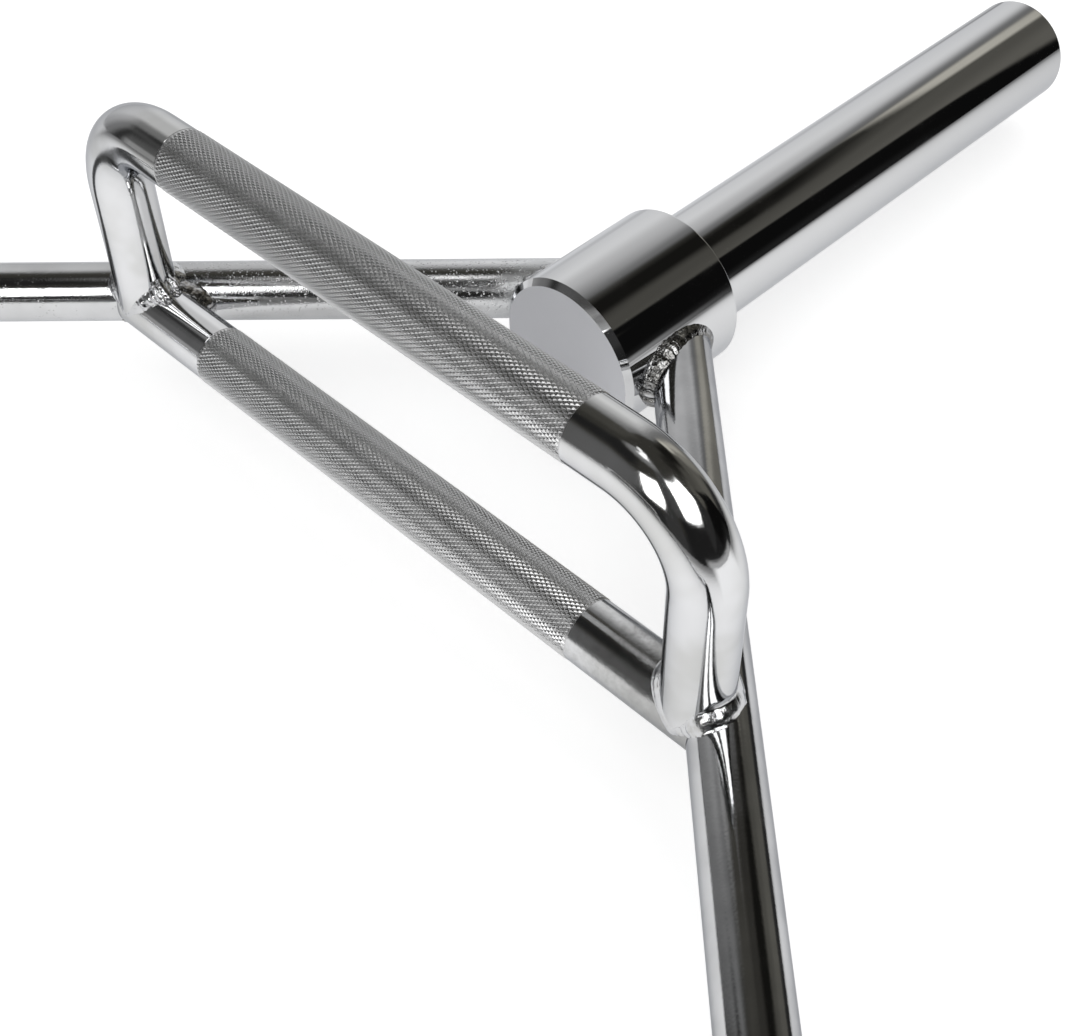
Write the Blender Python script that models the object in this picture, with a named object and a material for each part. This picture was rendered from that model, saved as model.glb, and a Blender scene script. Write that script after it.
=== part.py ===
"""Trap bar with two grip heights, as a welded assembly of round steel bar.

A hexagon of two bent frame bars joins two thick collars. A plate sleeve stands out of each
collar, and on each side a low handle and a raised handle lie across the hexagon.

Metres. The bar stands on its two collars. The origin is on the floor under the middle,
+X runs along the sleeves, +Y points to the rear frame bar and +Z points up.
"""
import math

import bmesh
import bpy
from mathutils import Matrix, Vector

# Plate sleeves
SLEEVE_RADIUS = 0.025
SLEEVE_WALL = 0.005
SLEEVE_LOAD_LENGTH = 0.257
SLEEVE_SEAT_DEPTH = 0.050
SLEEVE_RIM_ROUND = 0.0012
PLUG_LENGTH = 0.014
PLUG_RECESS = 0.001
PLUG_CHAMFER = 0.0006

# Collars
COLLAR_RADIUS = 0.035
COLLAR_LENGTH = 0.065
COLLAR_FACE_CHAMFER = 0.0025
COLLAR_SHOULDER_ROUND = 0.0008

# Hexagon of round bar
BAR_RADIUS = 0.0125
FRAME_ANGLE = math.radians(45.6)
FRAME_HALF_WIDTH = 0.305
FRAME_BEND_RADIUS = 0.060
FRAME_DROP = 0.001

# Handles
HANDLE_SPACING = 0.610
HANDLE_TO_COLLAR = 0.0945
RAISED_HANDLE_LIFT = 0.094
RISER_HALF_SPACING = 0.1515
RAISED_BEND_RADIUS = 0.0345
LOW_KNURL_LENGTH = 0.206
RAISED_KNURL_LENGTH = 0.203
KNURL_RISE = 0.00025

# Weld beads
COLLAR_BEAD = 0.0060
FOOT_BEAD = 0.0036
HANDLE_BEAD = 0.0048
HANDLE_BEAD_TOP = math.radians(38)
HANDLE_BEAD_END = math.radians(-172)

# Clearance between touching pieces, and how finely round shapes are cut
GAP = 0.0003
TURN_SEGMENTS = 40
BAR_SEGMENTS = 24
BEND_STEPS = 7
SEAM_STEPS = 20
MERGE_DISTANCE = 0.000001
SMOOTH_ANGLE = math.radians(30)

# Places that follow from the sizes above
SLEEVE_AXIS = COLLAR_RADIUS
FRAME_LEVEL = SLEEVE_AXIS - FRAME_DROP
RAISED_LEVEL = FRAME_LEVEL + RAISED_HANDLE_LIFT
HANDLE_X = HANDLE_SPACING / 2
COLLAR_FACE_X = HANDLE_X + HANDLE_TO_COLLAR
SHOULDER_X = COLLAR_FACE_X + COLLAR_LENGTH
SLEEVE_TIP_X = SHOULDER_X + SLEEVE_LOAD_LENGTH
CORNER_X = SHOULDER_X - FRAME_HALF_WIDTH / math.tan(FRAME_ANGLE)
HANDLE_END_Y = (SHOULDER_X - HANDLE_X) * math.tan(FRAME_ANGLE)

SIDES = {"right": 1, "left": -1}
ENDS = {"rear": 1, "front": -1}


def clear_scene():
    for item in list(bpy.data.objects):
        bpy.data.objects.remove(item)


def chrome(name, colour, roughness):
    """Chrome plate on steel, more or less bright."""
    material = bpy.data.materials.new(name)
    material.use_nodes = True
    material.diffuse_color = (*colour, 1.0)
    shader = material.node_tree.nodes["Principled BSDF"]
    shader.inputs["Base Color"].default_value = (*colour, 1.0)
    shader.inputs["Metallic"].default_value = 1.0
    shader.inputs["Roughness"].default_value = roughness
    return material


def add_object(name, bm, material):
    """Close the mesh's books: outward normals, smooth round faces and sharp edges."""
    bmesh.ops.recalc_face_normals(bm, faces=bm.faces)
    mesh = bpy.data.meshes.new(name)
    bm.to_mesh(mesh)
    bm.free()
    mesh.shade_smooth()
    mesh.set_sharp_from_angle(angle=SMOOTH_ANGLE)
    mesh.materials.append(material)
    item = bpy.data.objects.new(name, mesh)
    bpy.context.scene.collection.objects.link(item)
    return item


def cutter(item):
    """A shape that only cuts others."""
    item.hide_render = True
    item.display_type = "WIRE"
    return item


def cut(target, *tools):
    for tool in tools:
        boolean = target.modifiers.new("cut_" + tool.name, "BOOLEAN")
        boolean.operation = "DIFFERENCE"
        boolean.object = tool


def turned(name, outline, material):
    """An outline of (x, radius) points spun round the X axis.

    An outline that starts on the axis also ends there. Any other outline closes on itself.
    """
    bm = bmesh.new()
    corners = [bm.verts.new((x, 0.0, radius)) for x, radius in outline]
    edges = [bm.edges.new(pair) for pair in zip(corners, corners[1:])]
    if outline[0][1] > 0:
        edges.append(bm.edges.new((corners[-1], corners[0])))
    bmesh.ops.spin(bm, geom=corners + edges, cent=(0, 0, 0), axis=(1, 0, 0),
                   angle=math.tau, steps=TURN_SEGMENTS, use_merge=True)
    bmesh.ops.remove_doubles(bm, verts=bm.verts, dist=MERGE_DISTANCE)
    return add_object(name, bm, material)


def rounded_corner(x, radius, size, towards, steps=3):
    """Points of a quarter round on an outer corner, from the cylinder to the end face.

    towards is +1 where the end face looks along +X and -1 where it looks along -X.
    """
    points = []
    for step in range(steps + 1):
        angle = math.pi / 2 * step / steps
        points.append((x + towards * size * (math.sin(angle) - 1),
                       radius + size * (math.cos(angle) - 1)))
    return points


def place_on_side(item, side):
    """Put a piece that was turned about the X axis on the sleeve axis of one end."""
    item.location = (0.0, 0.0, SLEEVE_AXIS)
    item.rotation_euler = (0.0, 0.0, 0.0 if side > 0 else math.pi)


class RoundBar:
    """Round bar drawn out of its own end face, as a bender feeds and turns real bar."""

    def __init__(self, start, heading, corner, radius=BAR_RADIUS):
        self.place = Vector(start)
        self.heading = Vector(heading).normalized()
        corner = Vector(corner).normalized()
        self.mesh = bmesh.new()
        turn = Matrix((corner, self.heading.cross(corner), self.heading)).transposed()
        bmesh.ops.create_circle(self.mesh, cap_ends=True, segments=BAR_SEGMENTS, radius=radius,
                                matrix=Matrix.Translation(self.place) @ turn.to_4x4())
        self.mesh.faces.ensure_lookup_table()
        self.end = self.mesh.faces[0]

    def end_shape(self):
        return [self.end, *self.end.edges, *self.end.verts]

    def run(self, length, swell=0.0):
        """A straight run. swell widens the radius over its length."""
        made = bmesh.ops.extrude_face_region(self.mesh, geom=self.end_shape())
        self.end = next(part for part in made["geom"] if isinstance(part, bmesh.types.BMFace))
        self.place = self.place + self.heading * length
        for corner in self.end.verts:
            corner.co += self.heading * length
            corner.co += (corner.co - self.place).normalized() * swell
        return self

    def bend(self, radius, angle, towards):
        """A bend of the centre line, to the side that towards points to."""
        towards = Vector(towards)
        towards = (towards - self.heading * towards.dot(self.heading)).normalized()
        centre = self.place + towards * radius
        axis = self.heading.cross(towards)
        made = bmesh.ops.spin(self.mesh, geom=self.end_shape(), cent=centre, axis=axis,
                              angle=angle, steps=BEND_STEPS)
        self.end = next(part for part in made["geom_last"]
                        if isinstance(part, bmesh.types.BMFace))
        turn = Matrix.Rotation(angle, 3, axis)
        self.place = centre + turn @ (self.place - centre)
        self.heading = turn @ self.heading
        return self

    def finish(self, name, material):
        return add_object(name, self.mesh, material)


def diagonal(side, end):
    """Direction of a frame bar from the collar out to its corner."""
    return Vector((-side * math.cos(FRAME_ANGLE), end * math.sin(FRAME_ANGLE), 0.0))


def frame_crossing(side):
    """Where the two diagonals of one side would meet on the sleeve axis, at the shoulder."""
    return Vector((side * SHOULDER_X, 0.0, FRAME_LEVEL))


def make_sleeve(name, side, material):
    """Steel tube that the plates slide on, seated in the collar's blind bore."""
    inner = SLEEVE_RADIUS - SLEEVE_WALL
    seat_x = SHOULDER_X - SLEEVE_SEAT_DEPTH
    outline = [(seat_x, inner), (seat_x, SLEEVE_RADIUS)]
    outline += rounded_corner(SLEEVE_TIP_X, SLEEVE_RADIUS, SLEEVE_RIM_ROUND, 1)
    outline += [(SLEEVE_TIP_X, inner)]
    item = turned(name, outline, material)
    place_on_side(item, side)
    return item


def make_plug(name, side, material):
    """Round steel plug that closes the sleeve's outer end."""
    radius = SLEEVE_RADIUS - SLEEVE_WALL - GAP
    face_x = SLEEVE_TIP_X - PLUG_RECESS
    outline = [(face_x - PLUG_LENGTH, 0.0), (face_x - PLUG_LENGTH, radius),
               (face_x - PLUG_CHAMFER, radius), (face_x, radius - PLUG_CHAMFER), (face_x, 0.0)]
    item = turned(name, outline, material)
    place_on_side(item, side)
    return item


def make_collar(name, side, material):
    """Turned collar: chamfered inner face, shoulder for the plates, blind bore for the sleeve."""
    bore = SLEEVE_RADIUS + GAP
    bore_end_x = SHOULDER_X - SLEEVE_SEAT_DEPTH - GAP
    outline = [(COLLAR_FACE_X, 0.0), (COLLAR_FACE_X, COLLAR_RADIUS - COLLAR_FACE_CHAMFER),
               (COLLAR_FACE_X + COLLAR_FACE_CHAMFER, COLLAR_RADIUS)]
    outline += rounded_corner(SHOULDER_X, COLLAR_RADIUS, COLLAR_SHOULDER_ROUND, 1)
    outline += [(SHOULDER_X, bore), (bore_end_x, bore), (bore_end_x, 0.0)]
    item = turned(name, outline, material)
    place_on_side(item, side)
    return item


def make_frame_bar(name, end, material):
    """One half of the hexagon: diagonal, bend, long run, bend, diagonal."""
    tangent = FRAME_BEND_RADIUS * math.tan(FRAME_ANGLE / 2)
    slant = FRAME_HALF_WIDTH / math.sin(FRAME_ANGLE) - tangent
    bar = RoundBar(frame_crossing(1), diagonal(1, end), (0, 0, 1))
    bar.run(slant)
    bar.bend(FRAME_BEND_RADIUS, FRAME_ANGLE, (-1, -end, 0))
    bar.run(2 * (CORNER_X - tangent))
    bar.bend(FRAME_BEND_RADIUS, FRAME_ANGLE, (0, -end, 0))
    bar.run(slant)
    return bar.finish(name, material)


def knurled_run(bar, plain, length):
    """A straight run with a knurled length in its middle, which stands a little proud."""
    bar.run(plain)
    bar.run(KNURL_RISE, swell=KNURL_RISE)
    bar.run(length - 2 * KNURL_RISE)
    bar.run(KNURL_RISE, swell=-KNURL_RISE)
    bar.run(plain)


def make_low_handle(name, side, material):
    """Straight handle across the frame, its ends fitted to the two diagonals."""
    bar = RoundBar((side * HANDLE_X, -HANDLE_END_Y, FRAME_LEVEL), (0, 1, 0), (0, 0, 1))
    knurled_run(bar, HANDLE_END_Y - LOW_KNURL_LENGTH / 2, LOW_KNURL_LENGTH)
    return bar.finish(name, material)


def make_raised_handle(name, side, material):
    """Handle bent down at both ends into risers that stand on the low handle and the frame."""
    riser = RAISED_HANDLE_LIFT - RAISED_BEND_RADIUS
    plain = RISER_HALF_SPACING - RAISED_BEND_RADIUS - RAISED_KNURL_LENGTH / 2
    bar = RoundBar((side * HANDLE_X, -RISER_HALF_SPACING, FRAME_LEVEL), (0, 0, 1), (1, 0, 0))
    bar.run(riser)
    bar.bend(RAISED_BEND_RADIUS, math.pi / 2, (0, 1, 0))
    knurled_run(bar, plain, RAISED_KNURL_LENGTH)
    bar.bend(RAISED_BEND_RADIUS, math.pi / 2, (0, 0, -1))
    bar.run(riser)
    return bar.finish(name, material)


def seam_point(start, heading, angle_side, angle, mains):
    """Where a line along a bar's skin first meets one of the main bars.

    The line starts at the bar's point start, goes along heading and lies at the given angle
    round the bar, counted from angle_side. Each main is (point on axis, direction, radius).
    """
    up = heading.cross(angle_side)
    skin = start + (angle_side * math.cos(angle) + up * math.sin(angle)) * BAR_RADIUS
    nearest = None
    for point, direction, radius in mains:
        offset = skin - point
        offset = offset - direction * offset.dot(direction)
        rate = heading - direction * heading.dot(direction)
        a = rate.dot(rate)
        b = offset.dot(rate)
        depth = b * b - a * (offset.dot(offset) - radius * radius)
        if depth < -MERGE_DISTANCE:
            continue
        distance = (-b - math.sqrt(max(depth, 0.0))) / a
        if nearest is None or distance < nearest:
            nearest = distance
    return skin + heading * nearest


def frame_main(side, end):
    return frame_crossing(side), diagonal(side, end), BAR_RADIUS


def handle_main(side):
    return Vector((side * HANDLE_X, 0.0, FRAME_LEVEL)), Vector((0, 1, 0)), BAR_RADIUS


def collar_main(side):
    return Vector((side * SHOULDER_X, 0.0, SLEEVE_AXIS)), Vector((1, 0, 0)), COLLAR_RADIUS


def collar_seam(side, end):
    """Closed seam round a frame bar where it meets the collar."""
    heading = -diagonal(side, end)
    start = frame_crossing(side) - heading * FRAME_HALF_WIDTH
    flat = heading.cross(Vector((0, 0, 1)))
    angles = [math.tau * step / SEAM_STEPS for step in range(SEAM_STEPS)]
    return [seam_point(start, heading, flat, angle, [collar_main(side)]) for angle in angles]


def foot_seam(side, end):
    """Closed seam round a riser where it stands on the low handle and the frame bar."""
    start = Vector((side * HANDLE_X, end * RISER_HALF_SPACING, RAISED_LEVEL))
    mains = [handle_main(side), frame_main(side, end)]
    angles = [math.tau * step / SEAM_STEPS for step in range(SEAM_STEPS)]
    return [seam_point(start, Vector((0, 0, -1)), Vector((side, 0, 0)), angle, mains)
            for angle in angles]


def handle_seam(side, end):
    """Open seam under the low handle's end, from the crotch by the collar to the riser."""
    heading = Vector((0, end, 0))
    start = Vector((side * HANDLE_X, 0.0, FRAME_LEVEL))
    towards_collar = Vector((side, 0, 0))
    upward = heading.cross(towards_collar).z
    points = []
    for step in range(SEAM_STEPS + 1):
        turn = HANDLE_BEAD_TOP + (HANDLE_BEAD_END - HANDLE_BEAD_TOP) * step / SEAM_STEPS
        points.append(seam_point(start, heading, towards_collar, turn * upward,
                                 [frame_main(side, end)]))
    return points


def eased(points, closed, rounds=3):
    """The same seam with its kinks rounded, as a welder's hand rounds them."""
    for _ in range(rounds):
        last = len(points) - 1
        softer = []
        for index, point in enumerate(points):
            if not closed and index in (0, last):
                softer.append(point)
                continue
            before = points[index - 1]
            after = points[(index + 1) % len(points)]
            softer.append((before + point * 2 + after) / 4)
        points = softer
    return points


def bead_along(name, points, radius, closed, material):
    """Round bead of weld metal along a seam, as a closed mesh."""
    curve = bpy.data.curves.new(name, "CURVE")
    curve.dimensions = "3D"
    curve.bevel_depth = radius
    curve.bevel_resolution = 2
    curve.render_resolution_u = 0
    curve.use_fill_caps = True
    points = eased(points, closed)
    spline = curve.splines.new("POLY")
    spline.points.add(len(points) - 1)
    spline.use_cyclic_u = closed
    for corner, point in zip(spline.points, points):
        corner.co = (*point, 1.0)
    rope = bpy.data.objects.new(name, curve)
    bpy.context.scene.collection.objects.link(rope)
    graph = bpy.context.evaluated_depsgraph_get()
    bm = bmesh.new()
    bm.from_mesh(rope.evaluated_get(graph).to_mesh())
    bpy.data.objects.remove(rope)
    bpy.data.curves.remove(curve)
    bmesh.ops.remove_doubles(bm, verts=bm.verts, dist=MERGE_DISTANCE)
    return add_object(name, bm, material)


def straight_cutter(name, start, heading, corner, length, material, radius=BAR_RADIUS + GAP):
    bar = RoundBar(start, heading, corner, radius).run(length)
    return cutter(bar.finish("cutter_" + name, material))


def make_collar_cutter(name, side, material):
    """Room for the collar, longer than it at both ends."""
    spare = BAR_RADIUS * 2
    radius = COLLAR_RADIUS + GAP
    outline = [(COLLAR_FACE_X - spare, 0.0), (COLLAR_FACE_X - spare, radius),
               (SHOULDER_X + spare, radius), (SHOULDER_X + spare, 0.0)]
    item = turned("cutter_" + name, outline, material)
    place_on_side(item, side)
    return cutter(item)


def main():
    clear_scene()
    plate = chrome("polished_chrome", (0.78, 0.79, 0.80), 0.06)
    bar_plate = chrome("bar_chrome", (0.74, 0.75, 0.77), 0.12)
    grip_plate = chrome("knurled_chrome", (0.60, 0.60, 0.61), 0.35)
    weld_plate = chrome("weld_chrome", (0.62, 0.60, 0.58), 0.25)

    collar_room = {}
    handle_room = {}
    diagonal_room = {}
    riser_room = {}
    for side_name, side in SIDES.items():
        make_sleeve(f"{side_name}_sleeve", side, plate)
        make_plug(f"{side_name}_sleeve_plug", side, plate)
        make_collar(f"{side_name}_collar", side, plate)
        collar_room[side_name] = make_collar_cutter(f"{side_name}_collar", side, plate)
        handle_room[side_name] = straight_cutter(
            f"{side_name}_low_handle", (side * HANDLE_X, -HANDLE_END_Y, FRAME_LEVEL),
            (0, 1, 0), (0, 0, 1), 2 * HANDLE_END_Y, bar_plate)
        for end_name, end in ENDS.items():
            key = f"{side_name}_{end_name}"
            diagonal_room[key] = straight_cutter(
                f"{key}_diagonal", frame_crossing(side), diagonal(side, end), (0, 0, 1),
                FRAME_HALF_WIDTH / math.sin(FRAME_ANGLE), bar_plate)
            riser_room[key] = straight_cutter(
                f"{key}_riser", (side * HANDLE_X, end * RISER_HALF_SPACING, FRAME_LEVEL),
                (0, 0, 1), (1, 0, 0), RAISED_HANDLE_LIFT, bar_plate)

    for end_name, end in ENDS.items():
        bar = make_frame_bar(f"{end_name}_frame_bar", end, bar_plate)
        cut(bar, *collar_room.values())

    for side_name, side in SIDES.items():
        diagonals = [diagonal_room[f"{side_name}_{end_name}"] for end_name in ENDS]
        low = make_low_handle(f"{side_name}_low_handle", side, grip_plate)
        cut(low, *diagonals)
        raised = make_raised_handle(f"{side_name}_raised_handle", side, grip_plate)
        cut(raised, handle_room[side_name], *diagonals)
        for end_name, end in ENDS.items():
            key = f"{side_name}_{end_name}"
            bead = bead_along(f"{key}_collar_weld", collar_seam(side, end), COLLAR_BEAD,
                              True, weld_plate)
            cut(bead, collar_room[side_name], diagonal_room[key])
            foot = bead_along(f"{key}_riser_weld", foot_seam(side, end), FOOT_BEAD,
                              True, weld_plate)
            cut(foot, riser_room[key], handle_room[side_name], diagonal_room[key])
            foot_room = cutter(bead_along(f"cutter_{key}_riser_weld", foot_seam(side, end),
                                          FOOT_BEAD + GAP, True, weld_plate))
            under = bead_along(f"{key}_handle_weld", handle_seam(side, end), HANDLE_BEAD,
                               False, weld_plate)
            cut(under, handle_room[side_name], diagonal_room[key], riser_room[key], foot_room)


main()
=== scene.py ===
import math
import random
from dataclasses import dataclass

import bmesh
import bpy
from mathutils import Matrix, Vector


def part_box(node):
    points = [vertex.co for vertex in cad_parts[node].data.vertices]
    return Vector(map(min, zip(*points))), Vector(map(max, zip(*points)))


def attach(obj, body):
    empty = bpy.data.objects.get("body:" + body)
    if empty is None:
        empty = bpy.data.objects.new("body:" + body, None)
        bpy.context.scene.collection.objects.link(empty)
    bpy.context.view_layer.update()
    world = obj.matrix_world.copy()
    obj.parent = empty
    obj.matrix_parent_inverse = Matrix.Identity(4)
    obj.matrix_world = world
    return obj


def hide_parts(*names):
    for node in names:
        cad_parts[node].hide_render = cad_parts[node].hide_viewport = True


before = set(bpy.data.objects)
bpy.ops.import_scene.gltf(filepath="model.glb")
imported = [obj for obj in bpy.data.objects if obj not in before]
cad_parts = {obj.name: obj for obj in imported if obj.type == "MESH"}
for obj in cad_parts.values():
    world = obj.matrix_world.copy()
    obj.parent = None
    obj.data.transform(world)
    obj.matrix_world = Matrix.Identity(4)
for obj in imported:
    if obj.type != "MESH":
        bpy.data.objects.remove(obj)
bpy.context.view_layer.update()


def low(node):
    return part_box(node)[0]


def high(node):
    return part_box(node)[1]


def thickness(node):
    return high(node).z - low(node).z


def height(node):
    """Height of a node's middle over the floor."""
    return (high(node).z + low(node).z) / 2


# Sizes read from the frame, in metres
COLLAR_RADIUS = thickness("right_collar") / 2
SLEEVE_AXIS = height("right_collar")
COLLAR_FACE_X = low("right_collar").x
SHOULDER_X = high("right_collar").x
SLEEVE_RADIUS = thickness("right_sleeve") / 2
SLEEVE_SEAT_X = low("right_sleeve").x
SLEEVE_TIP_X = high("right_sleeve").x
PLUG_RADIUS = thickness("right_sleeve_plug") / 2
PLUG_BACK_X = low("right_sleeve_plug").x
PLUG_FACE_X = high("right_sleeve_plug").x
BAR_RADIUS = thickness("rear_frame_bar") / 2
FRAME_LEVEL = height("rear_frame_bar")
FRAME_HALF_WIDTH = high("rear_frame_bar").y - BAR_RADIUS
HANDLE_X = (high("right_low_handle").x + low("right_low_handle").x) / 2
KNURL_RISE = (high("right_low_handle").x - low("right_low_handle").x) / 2 - BAR_RADIUS
RAISED_LEVEL = high("right_raised_handle").z - BAR_RADIUS - KNURL_RISE
RISER_HALF_SPACING = high("right_raised_handle").y - BAR_RADIUS

# Sizes of the bends, corners and knurls
FRAME_ANGLE = math.radians(45.6)
FRAME_BEND_RADIUS = 0.060
RAISED_BEND_RADIUS = 0.0345
LOW_KNURL_LENGTH = 0.206
RAISED_KNURL_LENGTH = 0.203
COLLAR_FACE_CHAMFER = 0.0025
COLLAR_SHOULDER_ROUND = 0.0008
COLLAR_BORE_BREAK = 0.0003
SLEEVE_CLEARANCE = 0.0003
SLEEVE_WALL = 0.005
SLEEVE_RIM_ROUND = 0.0012
PLUG_CHAMFER = 0.0006
CORNER_X = SHOULDER_X - FRAME_HALF_WIDTH / math.tan(FRAME_ANGLE)
HANDLE_END_Y = (SHOULDER_X - HANDLE_X) * math.tan(FRAME_ANGLE)

# How finely the pieces are drawn
TURNED_SIDES = 144
FRAME_BAR_SIDES = 64
FRAME_BEND_STEPS = 20
HANDLE_BEND_STEPS = 28
SMOOTH_ANGLE = math.radians(28)
HANDLE_SMOOTH_ANGLE = math.radians(12)
SUPPORT = 0.0003
MERGE_DISTANCE = 0.000001
SAME_SPOT = 0.00002
SNUG = 0.00005
FACING_STRAIGHT = 0.99
NEARLY_ALONG = 0.95

# The diamond knurl: two sets of grooves, each 30 degrees off the bar's axis
DIAMONDS_ROUND = 48
DIAMOND_LENGTH = 0.00283
DIAMOND_SLOPE_WIDTH = 0.00046
DIAMOND_HEIGHT = 0.00031
KNURL_ROOT_DEPTH = 0.00008
KNURL_RUNOUT = 0.0001

ENDS = {"rear": 1, "front": -1}


# Working at the bench: starting, choosing and finishing a mesh

def put_down_tools():
    """Object mode with nothing selected, so that the next operator meets its own piece only."""
    if bpy.context.mode != "OBJECT":
        bpy.ops.object.mode_set(mode="OBJECT")
    bpy.ops.object.select_all(action="DESELECT")


def take_up(piece):
    put_down_tools()
    piece.select_set(True)
    bpy.context.view_layer.objects.active = piece


def edit(piece):
    take_up(piece)
    bpy.ops.object.mode_set(mode="EDIT")


def choose(piece, kind, wanted):
    """Select the faces, edges or corners of the mesh in hand for which wanted is true."""
    bpy.ops.mesh.select_mode(type=kind)
    bpy.ops.mesh.select_all(action="DESELECT")
    mesh = bmesh.from_edit_mesh(piece.data)
    parts = {"FACE": mesh.faces, "EDGE": mesh.edges, "VERT": mesh.verts}[kind]
    for part in parts:
        if wanted(part):
            part.select_set(True)
    mesh.select_flush_mode()
    bmesh.update_edit_mesh(piece.data)


def finish_faces(piece, slot):
    """Give the chosen faces the piece's second or later finish."""
    for face in bmesh.from_edit_mesh(piece.data).faces:
        if face.select:
            face.material_index = slot
    bmesh.update_edit_mesh(piece.data)


def dress(piece, *materials):
    """The piece's finishes, in the order of its slots."""
    piece.data.materials.clear()
    for material in materials:
        piece.data.materials.append(material)


def named(name):
    """The piece just added, with its name on it and on its mesh."""
    piece = bpy.context.object
    piece.name = name
    piece.data.name = name
    return piece


def middle(part):
    """Middle of an edge or a face."""
    total = Vector()
    for corner in part.verts:
        total += corner.co
    return total / len(part.verts)


def settle(piece, smooth_angle=SMOOTH_ANGLE):
    """Fix the piece's place in its mesh, turn its faces outward and smooth its round sides."""
    take_up(piece)
    bpy.ops.object.transform_apply(location=True, rotation=True, scale=True)
    bpy.ops.object.mode_set(mode="EDIT")
    bpy.ops.mesh.select_all(action="SELECT")
    bpy.ops.mesh.remove_doubles(threshold=MERGE_DISTANCE)
    bpy.ops.mesh.normals_make_consistent(inside=False)
    bpy.ops.object.mode_set(mode="OBJECT")
    bpy.ops.object.shade_smooth_by_angle(angle=smooth_angle)
    return piece


def apply(piece, modifier):
    take_up(piece)
    bpy.ops.object.modifier_apply(modifier=modifier.name)


def cut_away(piece, tool):
    """Cut the tool's shape out of the piece, and put the tool away."""
    modifier = piece.modifiers.new("cut", "BOOLEAN")
    modifier.operation = "DIFFERENCE"
    modifier.solver = "EXACT"
    modifier.object = tool
    apply(piece, modifier)
    bpy.data.objects.remove(tool)


def other_side(piece, name, smooth_angle):
    """A copy for the left end, with its own mesh."""
    take_up(piece)
    bpy.ops.object.duplicate(linked=False)
    copy = named(name)
    bpy.ops.transform.resize(value=(-1, 1, 1), center_override=(0, 0, 0))
    return settle(copy, smooth_angle)


def hand_over(piece, node):
    """Give the piece its body, and hide the frame's node that it stands for."""
    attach(piece, "root")
    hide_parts(node)


# Round bar

# Where the two right-hand diagonals would meet on the sleeve axis, at the shoulder
CROSSING = Vector((SHOULDER_X, 0.0, FRAME_LEVEL))


def diagonal(end):
    """Direction of a frame bar from the right collar out to its corner."""
    return Vector((-math.cos(FRAME_ANGLE), end * math.sin(FRAME_ANGLE), 0.0))


def square_part(offset, direction):
    """The part of an offset that stands square to a direction."""
    return offset - direction * offset.dot(direction)


def turned_to(heading):
    """Rotation that turns +Z to the heading."""
    return heading.to_track_quat("Z", "Y").to_euler()


class RoundBar:
    """Round bar drawn out of its own end face: straight runs are extruded, bends are spun."""

    def __init__(self, name, place, heading, sides):
        put_down_tools()
        self.place = Vector(place)
        self.heading = Vector(heading).normalized()
        bpy.ops.mesh.primitive_circle_add(vertices=sides, radius=BAR_RADIUS, fill_type="NGON",
                                          location=self.place, rotation=turned_to(self.heading))
        self.piece = named(name)
        edit(self.piece)
        bpy.ops.mesh.select_all(action="SELECT")

    def run(self, length, radius_factor=1.0):
        step = self.heading * length
        bpy.ops.mesh.extrude_region_move(TRANSFORM_OT_translate={"value": step})
        self.place = self.place + step
        if radius_factor != 1.0:
            bpy.ops.transform.resize(value=(radius_factor,) * 3, center_override=self.place)

    def bend(self, radius, angle, towards, steps):
        """A bend of the centre line, to the side that towards points to."""
        towards = square_part(Vector(towards), self.heading).normalized()
        centre = self.place + towards * radius
        axis = towards.cross(self.heading)
        bpy.ops.mesh.spin(steps=steps, angle=angle, center=centre, axis=axis)
        turn = Matrix.Rotation(-angle, 3, axis)
        self.place = centre + turn @ (self.place - centre)
        self.heading = turn @ self.heading

    def finish(self):
        return settle(self.piece)


def add_rod(start, heading, length, radius):
    """A straight rod, into the mesh in hand or as an object of its own."""
    heading = Vector(heading).normalized()
    bpy.ops.mesh.primitive_cylinder_add(vertices=TURNED_SIDES, radius=radius, depth=length,
                                        location=Vector(start) + heading * length / 2,
                                        rotation=turned_to(heading))
    return bpy.context.object


def bench_rod(start, heading, length, radius):
    """A rod to cut with, as an object of its own."""
    put_down_tools()
    return add_rod(start, heading, length, radius)


def collar_tool(side):
    start = (side * COLLAR_FACE_X - BAR_RADIUS, 0, SLEEVE_AXIS)
    return bench_rod(start, (side, 0, 0), COLLAR_RADIUS * 4, COLLAR_RADIUS - SNUG)


def frame_tool(end):
    return bench_rod(CROSSING, diagonal(end), FRAME_HALF_WIDTH, BAR_RADIUS - SNUG)


def low_handle_tool():
    return bench_rod((HANDLE_X, -HANDLE_END_Y, FRAME_LEVEL), (0, 1, 0), HANDLE_END_Y * 2,
                     BAR_RADIUS - SNUG)


# Frame bars

def make_frame_bar(name, end):
    """One half of the hexagon: diagonal, bend, long run, bend, diagonal, fitted to the collars."""
    tangent = FRAME_BEND_RADIUS * math.tan(FRAME_ANGLE / 2)
    slant = FRAME_HALF_WIDTH / math.sin(FRAME_ANGLE) - tangent
    fitted = COLLAR_RADIUS * 2.2
    bar = RoundBar(name, CROSSING, diagonal(end), FRAME_BAR_SIDES)
    bar.run(fitted)
    bar.run(slant - fitted)
    bar.bend(FRAME_BEND_RADIUS, FRAME_ANGLE, (-1, -end, 0), FRAME_BEND_STEPS)
    bar.run(2 * (CORNER_X - tangent))
    bar.bend(FRAME_BEND_RADIUS, FRAME_ANGLE, (0, -end, 0), FRAME_BEND_STEPS)
    bar.run(slant - fitted)
    bar.run(fitted)
    piece = bar.finish()
    for side in (1, -1):
        cut_away(piece, collar_tool(side))
    return settle(piece)


# Collar, sleeve and plug, turned about the sleeve axis

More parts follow.
